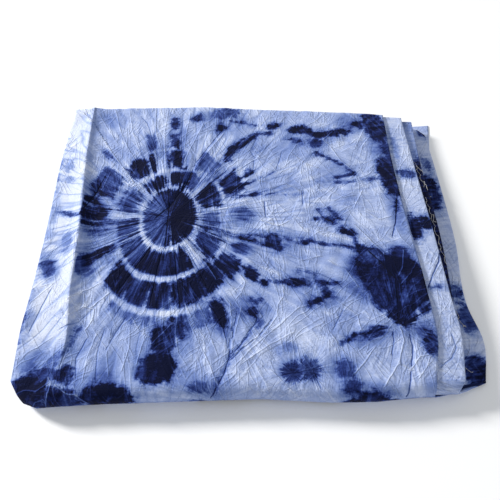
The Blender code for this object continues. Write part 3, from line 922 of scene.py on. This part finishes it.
# Painted shade: the leaves deep in the gap are coloured as if fully dyed.
GAP_PAINTED_SHADE = ((238, -60, 34, 198, 0, 1.00),)
HIDDEN_BLOTCH = 90.0
HIDDEN_CONTRAST = 60.0
HIDDEN_DRY = 9.0
HIDDEN_DEPTH = 0.9
HIDDEN_THIN = 0.4
HIDDEN_THIN_START = 0.6

# Where the strips' dye begins, in metres, and how far round the near fold the top leaf's
# reaches, in radians. The creases fade out towards the left edge and round the near fold.
STRIP_GROUND = GROUND_DYE - 0.03
SECOND_LEAF_START, THIRD_LEAF_START, LOWER_STRIP_START = 0.19, 0.225, 0.2
FOLD_DYE_END = 2.3
LEFT_EDGE_RELIEF, LEFT_EDGE_FADE = 0.35, 0.012
FOLD_RELIEF, FOLD_RELIEF_FALL = 1.2, 1.6
NO_CREST = 99.0
LEAST_STANDING = 0.05


def hidden_soaked(u, v):
    """The dye where no view shows enough to place it: soft blotches of the same kind."""
    wet = np.array([
        noise.noise(Vector((a / HIDDEN_BLOTCH, b / HIDDEN_BLOTCH, 4.2))) * HIDDEN_CONTRAST - HIDDEN_DRY
        for a, b in zip(u, v)
    ])
    thin = GROUND_DYE + ease(wet / HIDDEN_CONTRAST + HIDDEN_THIN_START) * HIDDEN_THIN
    return np.clip(wet, LEAST_WET, MOST_WET), np.full(len(u), HIDDEN_DEPTH), thin


def cloth_grid():
    """Places, flat places, leaf and half of every crossing of a column and a row."""
    columns, rows = section_columns(), run_rows()
    edges = np.array([edges_at(*row) for row in rows])
    bulges = bulges_along(rows, edges)
    halves = np.array([row[0] for row in rows])[:, None]
    where = np.array([row[1] for row in rows])[:, None]
    reach = np.where(np.isin(np.arange(LEAVES + 1), (0, LEAVES)), PLY / 2, PLY / 2 + bulges)
    ends = edges - np.array(EDGE_SIDES) * reach
    x, over, crease, flat_u = (np.zeros((len(rows), len(columns))) for _ in range(4))
    leaf_of = np.zeros(len(columns), int)
    for c, (kind, leaf, place) in enumerate(columns):
        left, right = ends[:, leaf], ends[:, leaf + 1]
        if leaf % 2 == 0:
            left, right = right, left
        over[:, c] = OUTERMOST - leaf * PITCH
        leaf_of[c] = leaf
        if kind == "turn":
            side = EDGE_SIDES[leaf + 1]
            x[:, c] = ends[:, leaf + 1] + side * bulges[:, leaf + 1] * math.sin(place)
            over[:, c] -= TURN_RADIUS * (1 - math.cos(place))
            leaf_of[c] += place > math.pi / 2
            crease[:, c] = (1 + math.cos(place)) / 2 if leaf == 0 else 0.0
            continue
        crease[:, c] = leaf == 0
        if kind == "share":
            x[:, c] = left + (right - left) * place
        elif kind == "strip":
            x[:, c] = STRIP_START + (right - STRIP_START) * place
        else:
            x[:, c] = place
    folded = halves == "fold"
    lower = halves == "lower"
    turned = np.where(folded, where, np.where(lower, math.pi, 0.0))
    far = line_at(FAR_EDGE, x)
    near = line_at(NEAR_FOLD, x)
    back = np.where(lower, np.array(LOWER_SET_BACK)[leaf_of], np.array(UPPER_SET_BACK)[leaf_of])
    right_end = edges[:, np.where(leaf_of % 2, leaf_of + 1, leaf_of)]
    into = np.clip(x - (right_end - CORNER_RADIUS), 0.0, CORNER_RADIUS)
    rounded = CORNER_RADIUS - np.sqrt(CORNER_RADIUS**2 - into**2)
    far = far - back - np.where(lower & np.isin(leaf_of, CORNER_LEAVES), rounded, 0.0)
    y = np.where(folded, near - over * np.sin(turned), far + (near - far) * where)
    height = uneven(x, y, MIDDLE_HEIGHT + over * np.cos(turned))
    # Flat places run on from the top leaf's own x and y, so nothing slides on the cloth.
    step = np.abs(np.diff(x, axis=1)) + (np.diff(over, axis=1) != 0) * TURN_RADIUS
    shares = [place if kind == "share" and leaf == 0 else np.inf for kind, leaf, place in columns]
    middle = np.argmin(np.abs(np.array(shares) - FLAT_MIDDLE))
    way = np.concatenate((np.zeros((len(rows), 1)), -np.cumsum(step, axis=1)), axis=1)
    flat_u = way - way[:, [middle]] + x[:, [middle]]
    flat_v = np.where(folded, near - MIDDLE_HEIGHT * turned, np.where(lower, 2 * near - FOLD_LENGTH - y, y))
    crease = crease * np.where(lower, 0.0, 1.0)
    return columns, rows, x, y, height, flat_u, flat_v, leaf_of, turned, crease


def row_stride(kind, leaf, place, half):
    """How many rows one face of this strip spans: 1 where the strip shows."""
    if leaf == 0 and kind != "turn":
        return 1 if half != "lower" or place > TOP_EDGE_SHARE else HIDDEN_STRIDES["lower"]
    if kind == "turn":
        return 1 if leaf in (0, 1) else 2
    if kind == "strip" and leaf in (1, 2):
        return 1
    return HIDDEN_STRIDES[half]


def cloth_faces(columns, rows):
    """Faces as lists of (row, column), without a gap where long faces meet short ones."""
    spans = []
    for c in range(len(columns) - 1):
        kind, leaf, place = columns[c] if columns[c][0] == "turn" else columns[c + 1]
        if columns[c][0] != "turn" and columns[c + 1][0] != "turn":
            place = min(columns[c][2], columns[c + 1][2])
        stops, r = [0], 0
        while r < len(rows) - 1:
            half = rows[r + 1][0]
            block_end = max(i for i, row in enumerate(rows) if row[0] == half)
            r = min(r + row_stride(kind, leaf, place, half), block_end)
            stops.append(r)
        spans.append(stops)
    used = [sorted(set(a) | set(b)) for a, b in zip([spans[0], *spans], [*spans, spans[-1]])]
    faces = []
    for c, stops in enumerate(spans):
        for top, bottom in zip(stops, stops[1:]):
            left = [(r, c) for r in used[c] if top <= r <= bottom]
            right = [(r, c + 1) for r in used[c + 1] if top <= r <= bottom]
            faces.append(left + right[::-1])
    return faces


def folded_sheet():
    """The cloth as one open sheet, with its flat places and its dye on its points."""
    columns, rows, x, y, z, flat_u, flat_v, leaf_of, turned, crease = cloth_grid()
    faces = cloth_faces(columns, rows)
    spots = sorted({spot for face in faces for spot in face})
    number = {spot: i for i, spot in enumerate(spots)}
    r, c = np.array(spots).T
    turned = np.broadcast_to(turned, x.shape)
    grids = (x, y, z, flat_u, flat_v, turned, crease)
    x, y, z, u, v, turned, crease = (grid[r, c] for grid in grids)
    leaf = leaf_of[c]
    half = np.array([rows[i][0] for i in r])
    shown = crease > 0
    rise = np.zeros(len(x))
    inward = ease((x[shown] - x.min()) / LEFT_EDGE_FADE)
    edge_fade = LEFT_EDGE_RELIEF + (1 - LEFT_EDGE_RELIEF) * inward
    rise[shown] = relief(x[shown] * 1000, v[shown] * 1000) / 1000 * crease[shown] * edge_fade
    round_fold = np.clip(FOLD_RELIEF - turned / math.pi * FOLD_RELIEF_FALL, 0.0, 1.0)
    rise *= np.where(half == "fold", round_fold, 1.0)
    y = y - rise * np.sin(turned)
    z = z + rise * np.cos(turned)

    wet, depth, thin = hidden_soaked(u * 1000, v * 1000)
    upper = half == "upper"
    top = (leaf == 0) & (upper | (turned < FOLD_DYE_END))
    second = upper & ((leaf == 1) & (x > SECOND_LEAF_START) | (leaf == 2) & (x > THIRD_LEAF_START))
    lowest = (half == "lower") & (x > LOWER_STRIP_START) & np.isin(leaf, (1, 2))
    # The leaves deep in the gap at the right get painted shade, as a fully dyed patch.
    gap = upper & (x > LOWER_STRIP_START) & (leaf > 2)
    crest, stands = crest_at(y)
    left_strip = top & (x < crest) & (y > STRIP_END)
    for face, tables in (
        (top & ~left_strip, (PANELS, PATCHES, STROKES)),
        (left_strip, ((), LEFT_STRIP_PATCHES, LEFT_STRIP_STROKES)),
        (second, ((), SECOND_LEAF_PATCHES, SECOND_LEAF_STROKES)),
        (lowest, ((), LOWER_LEAF_PATCHES, ())),
        (gap, ((), GAP_PAINTED_SHADE, ())),
    ):
        here_y = np.where(top, v, y)[face]
        wet[face], depth[face] = soaked_and_gap_shade(x[face] * 1000, here_y * 1000, *tables)

    mesh = bpy.data.meshes.new("dyed_cloth")
    mesh.from_pydata(np.stack((x, y, z), 1).tolist(), [], [[number[s] for s in face] for face in faces])
    corners = np.array([loop.vertex_index for loop in mesh.loops])
    mesh.uv_layers.new(name="flat_cloth").data.foreach_set("uv", np.stack((u, v), 1)[corners].ravel())
    thin[top] = thin_dye_and_ridge_shade(x[top] * 1000, v[top] * 1000)
    thin[second | lowest] = STRIP_GROUND
    from_thread, thread_width, held = bindings(x * 1000, v * 1000)
    held = np.where(top, held, 0.0)
    beside, crease_rise = nearest_crease(x * 1000, v * 1000)
    beyond = np.where(x < 0, -NO_CREST, NO_CREST)
    from_crest = np.where(top & upper, (x - crest) * 1000 / np.maximum(stands, LEAST_STANDING), beyond)
    crease_rise = np.where(top | second, crease_rise, 0.0)
    for name, values in (
        ("soaked_and_gap_shade", wet),
        ("depth", depth),
        ("thin_dye_and_ridge_shade", thin),
        ("from_thread", from_thread),
        ("thread_width", thread_width),
        ("held", held),
        ("beside_crease", beside),
        ("crease_rise", crease_rise),
        ("from_crest", from_crest),
    ):
        mesh.attributes.new(name, "FLOAT", "POINT").data.foreach_set("value", values)
    mesh.shade_smooth()
    return mesh


def put(tree, kind, inputs=None, **settings):
    """A new node with its settings, its inputs given as values or as sockets to link."""
    made = tree.nodes.new(kind)
    for name, value in settings.items():
        setattr(made, name, value)
    for key, value in (inputs or {}).items():
        if isinstance(value, bpy.types.NodeSocket):
            tree.links.new(value, made.inputs[key])
        else:
            made.inputs[key].default_value = value
    return made


def calc(tree, operation, *values, clamp=False):
    """The output of a Math node."""
    made = put(tree, "ShaderNodeMath", dict(enumerate(values)), operation=operation, use_clamp=clamp)
    return made.outputs[0]


def vector_calc(tree, operation, first, second=(0.0, 0.0, 0.0)):
    """The output of a Vector Math node that gives a vector."""
    return put(tree, "ShaderNodeVectorMath", {0: first, 1: second}, operation=operation).outputs[0]


def noise_at(tree, place, scale, detail, roughness=0.5, distortion=0.0):
    """The output of a Noise Texture node."""
    inputs = {"Vector": place, "Scale": scale, "Detail": detail, "Roughness": roughness}
    return put(tree, "ShaderNodeTexNoise", {**inputs, "Distortion": distortion}).outputs["Fac"]


def ranged(tree, value, low, high, to_low=0.0, to_high=1.0, smooth=True):
    """The value mapped from one range to another."""
    inputs = {"Value": value, "From Min": low, "From Max": high, "To Min": to_low, "To Max": to_high}
    curve = "SMOOTHSTEP" if smooth else "LINEAR"
    return put(tree, "ShaderNodeMapRange", inputs, interpolation_type=curve).outputs["Result"]


def new_group(name, inputs, outputs):
    """An empty shader node group, and its input and output nodes."""
    tree = bpy.data.node_groups.new(name, "ShaderNodeTree")
    for label, kind, value in inputs:
        socket = tree.interface.new_socket(name=label, in_out="INPUT", socket_type=kind)
        if value is not None:
            socket.default_value = value
    for label, kind in outputs:
        tree.interface.new_socket(name=label, in_out="OUTPUT", socket_type=kind)
    return tree, tree.nodes.new("NodeGroupInput"), tree.nodes.new("NodeGroupOutput")


def pleat_rays_group():
    """Pleats that run out from a tie: fine streaks along the rays, and how near the tie is."""
    tree, given, made = new_group(
        "pleat_rays",
        (
            ("Place", "NodeSocketVector", None),
            ("Tie", "NodeSocketVector", None),
            ("Rays", "NodeSocketFloat", 14.0),
            ("Calm", "NodeSocketFloat", 0.02),
            ("Reach", "NodeSocketFloat", 0.1),
        ),
        (("Pleats", "NodeSocketFloat"), ("Folds", "NodeSocketFloat"), ("Nearness", "NodeSocketFloat")),
    )
    off = vector_calc(tree, "SUBTRACT", given.outputs["Place"], given.outputs["Tie"])
    far = put(tree, "ShaderNodeVectorMath", {0: off}, operation="LENGTH").outputs["Value"]
    inputs = {0: vector_calc(tree, "NORMALIZE", off), "Scale": given.outputs["Rays"]}
    spread = put(tree, "ShaderNodeVectorMath", inputs, operation="SCALE").outputs[0]
    parts = put(tree, "ShaderNodeSeparateXYZ", {0: spread})
    drift = calc(tree, "MULTIPLY", far, 17.0)
    inputs = {0: parts.outputs[0], 1: parts.outputs[1], 2: drift}
    spot = put(tree, "ShaderNodeCombineXYZ", inputs).outputs[0]
    share = calc(tree, "DIVIDE", far, given.outputs["Reach"])
    fall = calc(tree, "ADD", calc(tree, "POWER", share, 3.0), 1.0)
    tree.links.new(noise_at(tree, spot, 1.0, 3.0, 0.62), made.inputs["Pleats"])
    tree.links.new(noise_at(tree, spot, 0.8, 1.0, 0.4), made.inputs["Folds"])
    begun = ranged(tree, far, 0.0, given.outputs["Calm"])
    tree.links.new(calc(tree, "DIVIDE", begun, fall), made.inputs["Nearness"])
    return tree


def long_folds_group():
    """Single long creases in one heading, here and there, with smooth cloth between."""
    tree, given, made = new_group(
        "long_folds",
        (
            ("Place", "NodeSocketVector", None),
            ("Heading", "NodeSocketFloat", 1.2),
            ("Across", "NodeSocketFloat", 0.008),
            ("Along", "NodeSocketFloat", 0.03),
            ("Width", "NodeSocketFloat", 0.1),
            ("Layer", "NodeSocketFloat", 0.0),
        ),
        (("Crease", "NodeSocketFloat"),),
    )
    back = calc(tree, "MULTIPLY", given.outputs["Heading"], -1.0)
    inputs = {"Vector": given.outputs["Place"], "Angle": back}
    turned = put(tree, "ShaderNodeVectorRotate", inputs, rotation_type="Z_AXIS").outputs[0]
    parts = put(tree, "ShaderNodeSeparateXYZ", {0: turned})
    along_fold = calc(tree, "DIVIDE", parts.outputs[0], given.outputs["Along"])
    across = calc(tree, "DIVIDE", parts.outputs[1], given.outputs["Across"])
    inputs = {0: along_fold, 1: across, 2: given.outputs["Layer"]}
    spot = put(tree, "ShaderNodeCombineXYZ", inputs).outputs[0]
    off = calc(tree, "ABSOLUTE", calc(tree, "SUBTRACT", noise_at(tree, spot, 1.0, 1.0, 0.45, 0.25), 0.5))
    line = ranged(tree, off, 0.0, given.outputs["Width"], 1.0, 0.0, smooth=False)
    chance = noise_at(tree, vector_calc(tree, "MULTIPLY", spot, (0.6, 0.3, 1.7)), 1.0, 0.0)
    kept = calc(tree, "MULTIPLY", line, ranged(tree, chance, 0.50, 0.60))
    tree.links.new(kept, made.inputs["Crease"])
    return tree


def plain_weave_group():
    """Plain weave: warp and weft yarns that pass over and under each other in turn."""
    tree, given, made = new_group(
        "plain_weave",
        (("Place", "NodeSocketVector", None), ("Yarn", "NodeSocketFloat", 0.0005)),
        (("Height", "NodeSocketFloat"),),
    )
    parts = put(tree, "ShaderNodeSeparateXYZ", {0: given.outputs["Place"]})
    counts = [calc(tree, "DIVIDE", parts.outputs[i], given.outputs["Yarn"]) for i in (0, 1)]
    waves = [calc(tree, "SINE", calc(tree, "MULTIPLY", count, math.pi)) for count in counts]
    tree.links.new(calc(tree, "ABSOLUTE", calc(tree, "MULTIPLY", *waves)), made.inputs["Height"])
    return tree


TIES = (
    # name, x and y on the top leaf, rays, calm middle, reach, how strongly it pulled the cloth together
    ("great_ring", (-0.115, 0.014), 13.0, 0.045, 0.165, 1.0),
    ("dark_knot", (0.165, -0.154), 9.0, 0.020, 0.055, 0.30),
    ("first_star", (0.036, -0.210), 9.0, 0.003, 0.020, 0.60),
    ("second_star", (0.055, -0.207), 9.0, 0.003, 0.020, 0.60),
    ("near_pleats", (-0.052, -0.240), 10.0, 0.020, 0.070, 0.20),
)
LONG_FOLDS = (
    # heading in degrees, size across and along a crease, its width in the noise, layer, height
    (122.0, 0.0100, 0.060, 0.060, 0.0, 0.62),
    (64.0, 0.0110, 0.050, 0.055, 4.0, -0.36),
    (95.0, 0.0090, 0.050, 0.060, 9.0, 0.58),
    (38.0, 0.0120, 0.040, 0.055, 14.0, 0.60),
    (142.0, 0.0085, 0.040, 0.060, 19.0, -0.34),
    (78.0, 0.0040, 0.018, 0.090, 25.0, 0.26),
    (10.0, 0.0036, 0.014, 0.090, 31.0, 0.20),
)
DYE_STOPS = (
    # how much dye, colour
    (0.00, (0.620, 0.670, 0.820, 1.0)),
    (0.06, (0.480, 0.555, 0.780, 1.0)),
    (0.13, (0.315, 0.395, 0.655, 1.0)),
    (0.32, (0.170, 0.245, 0.520, 1.0)),
    (0.52, (0.062, 0.106, 0.330, 1.0)),
    (0.72, (0.020, 0.039, 0.175, 1.0)),
    (0.86, (0.008, 0.015, 0.086, 1.0)),
    (1.00, (0.002, 0.004, 0.024, 1.0)),
)


BASE_PULL = 0.12
YARN_PITCH = 0.00055
CREST_BUMP, CREST_BUMP_REACH = 2.8, 5.0
COTTON_ROUGHNESS, COTTON_SPECULAR, COTTON_SHEEN = 0.92, 0.08, 0.03


def dyed_cotton():
    """Matt cotton whose colour is the dye that the bound pleats let in."""
    material = bpy.data.materials.new("dyed_cotton")
    material.use_nodes = True
    tree = material.node_tree
    shader = tree.nodes["Principled BSDF"]
    place = put(tree, "ShaderNodeUVMap", uv_map="flat_cloth").outputs["UV"]
    rays, long_folds, weave = pleat_rays_group(), long_folds_group(), plain_weave_group()

    def chain(operation, total, *values):
        for value in values:
            total = calc(tree, operation, total, value)
        return total

    def add(*values):
        return chain("ADD", *values)

    def times(*values):
        return chain("MULTIPLY", *values)

    def centred(value, strength):
        return times(calc(tree, "SUBTRACT", value, 0.5), strength)

    cloudy = noise_at(tree, place, 22.0, 3.0)
    speck = noise_at(tree, place, 420.0, 2.0)
    grain = noise_at(tree, place, 900.0, 1.0)
    wander = noise_at(tree, place, 130.0, 3.0)
    inputs = {"Vector": place, "Rotation": (0.0, 0.0, 0.12), "Scale": (60.0, 260.0, 1.0)}
    streaks = noise_at(tree, put(tree, "ShaderNodeMapping", inputs).outputs[0], 1.0, 3.0)

    # The pleats of all ties, each felt most near its own.
    total = times(add(times(streaks, 0.5), 0.25), BASE_PULL)
    folds_total, weight = 0.0, BASE_PULL
    for name, tie, count, calm, reach, pull in TIES:
        inputs = {"Place": place, "Tie": (*tie, 0.0), "Rays": count, "Calm": calm, "Reach": reach}
        ray = put(tree, "ShaderNodeGroup", inputs, node_tree=rays, name=name)
        near = times(ray.outputs["Nearness"], pull)
        total = add(total, times(ray.outputs["Pleats"], near))
        off = calc(tree, "ABSOLUTE", calc(tree, "SUBTRACT", ray.outputs["Folds"], 0.5))
        sharp = ranged(tree, off, 0.0, 0.07, 1.0, 0.0)
        folds_total = add(folds_total, times(sharp, near))
        weight = add(weight, near)
    pleats = calc(tree, "DIVIDE", total, weight)
    tie_valleys = calc(tree, "DIVIDE", folds_total, weight)
    tied = calc(tree, "DIVIDE", calc(tree, "SUBTRACT", weight, BASE_PULL), weight)

    creases = []
    for heading, across, along_fold, width, layer, _ in LONG_FOLDS:
        inputs = {"Place": place, "Heading": math.radians(heading), "Across": across}
        inputs |= {"Along": along_fold, "Width": width, "Layer": layer}
        fold = put(tree, "ShaderNodeGroup", inputs, node_tree=long_folds)
        creases.append(fold.outputs["Crease"])

    def carried(name):
        return put(tree, "ShaderNodeAttribute", attribute_name=name).outputs["Fac"]

    # The listed creases, as thin lines down the middle of their broad backs.
    crease_rise = carried("crease_rise")
    beside = calc(tree, "ABSOLUTE", add(carried("beside_crease"), centred(wander, 2.0)))
    line = ranged(tree, beside, 0.0, 1.4, 1.0, 0.0)
    raised = times(line, calc(tree, "MAXIMUM", crease_rise, 0.0))
    sunk = times(line, calc(tree, "MAXIMUM", times(crease_rise, -1.0), 0.0))

    depth = carried("depth")
    frayed = times(centred(pleats, 1.0), add(6.0, times(tied, 18.0)))
    edge = add(carried("soaked_and_gap_shade"), frayed, centred(speck, 5.0), centred(wander, 10.0))
    halo = ranged(tree, edge, -11.0, 3.0)
    heart = ranged(tree, edge, -2.0, 3.5)
    dye = times(add(times(halo, halo, 0.32), times(heart, 0.68)), depth)
    dye = times(dye, add(0.40, times(cloudy, 0.72), times(wander, 0.48)))

    # Thin dye, with some painted shade right of the ridge, lies between the dark places, in the same
    # streaks.
    mottled = add(times(pleats, 0.75), times(cloudy, 0.45), times(wander, 0.2))
    mottled = ranged(tree, mottled, 0.44, 0.94, 0.74, 1.12)
    thin = times(carried("thin_dye_and_ridge_shade"), mottled)
    dye = add(dye, times(thin, calc(tree, "SUBTRACT", 1.0, dye)))

    # The bound rings keep the dye out: pale ovals, broken where the thread was slack.
    from_thread = add(carried("from_thread"), centred(pleats, 11.0), centred(wander, 5.0))
    wide = carried("thread_width")
    inside = calc(tree, "DIVIDE", calc(tree, "ABSOLUTE", from_thread), wide)
    bound = ranged(tree, inside, 0.35, 1.5, 1.0, 0.0)
    kept_out = times(bound, carried("held"), add(0.55, times(pleats, 0.8)))
    dye = times(dye, calc(tree, "SUBTRACT", 1.0, calc(tree, "MINIMUM", kept_out, 0.88)))

    # Dye settles in the valleys of the creases and misses their backs; with it go painted shade in the
    # valleys and a painted highlight on the backs.
    rayed = times(centred(pleats, 1.0), add(times(dye, 2.0), 0.12))
    specked = times(centred(speck, 0.20), add(dye, 0.3))
    grained = times(centred(grain, 0.16), add(dye, 0.3))
    dye = add(dye, rayed, specked, grained)
    # Painted shade darkens the crease valleys and a painted highlight lightens their backs, along with the
    # dye that really settles there.
    valleys = ((tie_valleys, 0.13), (creases[1], 0.04), (creases[4], 0.04), (sunk, 0.40))
    backs = ((creases[0], 0.24), (creases[2], 0.24), (creases[3], 0.20), (raised, 0.55))
    settled_dye_and_shade, missed_dye_and_highlight = (add(*(times(*pair) for pair in pairs)) for pairs in (valleys, backs))
    dye = add(dye, settled_dye_and_shade)
    dye = calc(tree, "SUBTRACT", dye, times(missed_dye_and_highlight, add(times(dye, 0.8), 0.02)))
    dye = calc(tree, "ADD", dye, centred(cloudy, 0.06), clamp=True)

    ramp = put(tree, "ShaderNodeValToRGB", {"Fac": dye})
    while len(ramp.color_ramp.elements) < len(DYE_STOPS):
        ramp.color_ramp.elements.new(0.5)
    for element, (stop, colour) in zip(ramp.color_ramp.elements, DYE_STOPS):
        element.position, element.color = stop, colour
    tree.links.new(ramp.outputs["Color"], shader.inputs["Base Color"])

    # Heights in millimetres: the pleats, the creases, then the yarns.
    crest = ranged(tree, carried("from_crest"), 0.0, CREST_BUMP_REACH, 1.0, 0.0, smooth=False)
    height = add(times(tie_valleys, -0.45), centred(pleats, 1.0), times(raised, 1.15), times(sunk, -1.15))
    height = add(height, times(crest, CREST_BUMP))
    for crease, (*_, rise) in zip(creases, LONG_FOLDS):
        height = add(height, times(crease, rise))
    yarns = put(tree, "ShaderNodeGroup", {"Place": place, "Yarn": YARN_PITCH}, node_tree=weave)
    height = add(height, times(yarns.outputs["Height"], 0.06))
    for value, strength in ((wander, 0.24), (streaks, 0.14), (speck, 0.22), (grain, 0.12)):
        height = add(height, centred(value, strength))
    bump = put(tree, "ShaderNodeBump", {"Height": height, "Strength": 1.0, "Distance": 0.001})
    tree.links.new(bump.outputs["Normal"], shader.inputs["Normal"])
    shader.inputs["Roughness"].default_value = COTTON_ROUGHNESS
    shader.inputs["Specular IOR Level"].default_value = COTTON_SPECULAR
    shader.inputs["Sheen Weight"].default_value = COTTON_SHEEN
    return material


cloth = bpy.data.objects.new("dyed_cloth", folded_sheet())
bpy.context.scene.collection.objects.link(cloth)
cloth.data.materials.append(dyed_cotton())
thickness = cloth.modifiers.new("thickness", "SOLIDIFY")
thickness.thickness = CLOTH_THICKNESS
thickness.offset = 0.0
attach(cloth, "root")
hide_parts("cloth")


# Where the cut ends of the cloth show at the right, a few cotton yarns have frayed out of
# them. They are undyed, curled, and lie loose on the plies below. A yarn is too stiff to
# follow the cloth over YARN_BRIDGE steps to either side of a place.
YARN_RADIUS = 0.0003
YARN_SIDES = 6
YARN_STEPS = 48
YARN_BRIDGE = 2
DROP_HEIGHT = 0.1
YARN_ROUGHNESS = 0.9
YARN_COLOUR = (0.66, 0.62, 0.54, 1.0)
# Painted shade colour for where the yarn's plies turn under.
YARN_SHADE = (0.30, 0.33, 0.42, 1.0)
FRAYED_YARNS = (
    # start x and y, end x and y, curls, size of a curl, where the first curl starts
    (0.2360, 0.1180, 0.2470, 0.1000, 1.5, 0.0030, 0.0),
    (0.2385, 0.1120, 0.2440, 0.0720, 2.5, 0.0022, 1.0),
    (0.2400, 0.0860, 0.2530, 0.0610, 2.0, 0.0030, 2.2),
    (0.2395, 0.0500, 0.2450, 0.0040, 3.0, 0.0020, 0.6),
    (0.2410, 0.0200, 0.2430, -0.0300, 2.5, 0.0018, 1.7),
    (0.2410, -0.0300, 0.2460, -0.0620, 2.0, 0.0022, 0.3),
    (0.2460, -0.1250, 0.2530, -0.1480, 1.5, 0.0034, 0.8),
    (0.2350, -0.1920, 0.2460, -0.2020, 1.0, 0.0026, 2.0),
)


def yarn_paths(cloth):
    """The yarns' middle lines, each dropped onto the cloth below it, as one mesh of edges."""
    surface = BVHTree.FromObject(cloth, bpy.context.evaluated_depsgraph_get())
    spots, edges = [], []
    for x0, y0, x1, y1, curls, size, phase in FRAYED_YARNS:
        share = np.linspace(0.0, 1.0, YARN_STEPS)
        turn = 2 * math.pi * curls * share + phase
        x = x0 + (x1 - x0) * share + size * np.sin(turn) * (0.6 + 0.4 * share)
        y = y0 + (y1 - y0) * share + size * np.cos(turn * 1.3)
        starts = [Vector((a, b, DROP_HEIGHT)) for a, b in zip(x, y)]
        below = np.array([surface.ray_cast(start, Vector((0, 0, -1)))[0].z for start in starts])
        window = 2 * YARN_BRIDGE + 1
        padded = np.pad(below, YARN_BRIDGE, constant_values=-np.inf)
        held_up = np.array([padded[i : i + window].max() for i in range(YARN_STEPS)])
        held_up = np.pad(held_up, YARN_BRIDGE, mode="edge")
        z = np.convolve(held_up, np.ones(window) / window, mode="valid")
        z = np.maximum(z, below) + YARN_RADIUS
        edges += [(len(spots) + i, len(spots) + i + 1) for i in range(YARN_STEPS - 1)]
        spots += list(zip(x.tolist(), y.tolist(), z.tolist()))
    mesh = bpy.data.meshes.new("frayed_yarns")
    mesh.from_pydata(spots, edges, [])
    return mesh


def round_yarn_tree(material):
    """Geometry nodes that give every path its round section."""
    tree = bpy.data.node_groups.new("round_yarn", "GeometryNodeTree")
    for label, way, kind in (
        ("Paths", "INPUT", "Geometry"),
        ("Radius", "INPUT", "Float"),
        ("Sides", "INPUT", "Int"),
        ("Yarns", "OUTPUT", "Geometry"),
    ):
        tree.interface.new_socket(name=label, in_out=way, socket_type="NodeSocket" + kind)
    given, made = tree.nodes.new("NodeGroupInput"), tree.nodes.new("NodeGroupOutput")
    paths = put(tree, "GeometryNodeMeshToCurve", {"Mesh": given.outputs["Paths"]})
    inputs = {"Resolution": given.outputs["Sides"], "Radius": given.outputs["Radius"]}
    section = put(tree, "GeometryNodeCurvePrimitiveCircle", inputs, mode="RADIUS").outputs["Curve"]
    inputs = {"Curve": paths.outputs["Curve"], "Profile Curve": section, "Fill Caps": True}
    tubes = put(tree, "GeometryNodeCurveToMesh", inputs)
    real = put(tree, "GeometryNodeRealizeInstances", {"Geometry": tubes.outputs["Mesh"]})
    inputs = {"Geometry": real.outputs["Geometry"], "Material": material}
    finish = put(tree, "GeometryNodeSetMaterial", inputs)
    tree.links.new(finish.outputs["Geometry"], made.inputs["Yarns"])
    return tree


def undyed_yarn():
    """Pale cotton yarn, with a little painted shade where its plies turn under."""
    material = bpy.data.materials.new("undyed_yarn")
    material.use_nodes = True
    tree = material.node_tree
    shader = tree.nodes["Principled BSDF"]
    place = put(tree, "ShaderNodeTexCoord").outputs["Object"]
    plies = noise_at(tree, place, 900.0, 2.0)
    ramp = put(tree, "ShaderNodeValToRGB", {"Fac": ranged(tree, plies, 0.35, 0.65)})
    ramp.color_ramp.elements[0].color = YARN_SHADE
    ramp.color_ramp.elements[1].color = YARN_COLOUR
    tree.links.new(ramp.outputs["Color"], shader.inputs["Base Color"])
    bump = put(tree, "ShaderNodeBump", {"Height": plies, "Strength": 0.6, "Distance": 0.0002})
    tree.links.new(bump.outputs["Normal"], shader.inputs["Normal"])
    shader.inputs["Roughness"].default_value = YARN_ROUGHNESS
    return material


yarn_guide = bpy.data.objects.new("yarn_guide", yarn_paths(cloth))
bpy.context.scene.collection.objects.link(yarn_guide)
round_section = yarn_guide.modifiers.new("round_section", "NODES")
round_section.node_group = round_yarn_tree(undyed_yarn())
for socket in round_section.node_group.interface.items_tree:
    if socket.name in ("Radius", "Sides"):
        round_section[socket.identifier] = {"Radius": YARN_RADIUS, "Sides": YARN_SIDES}[socket.name]
built_yarns = yarn_guide.evaluated_get(bpy.context.evaluated_depsgraph_get())
yarn_mesh = bpy.data.meshes.new_from_object(built_yarns)
bpy.data.objects.remove(yarn_guide)
frayed_yarns = bpy.data.objects.new("frayed_yarns", yarn_mesh)
bpy.context.scene.collection.objects.link(frayed_yarns)
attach(frayed_yarns, "root")
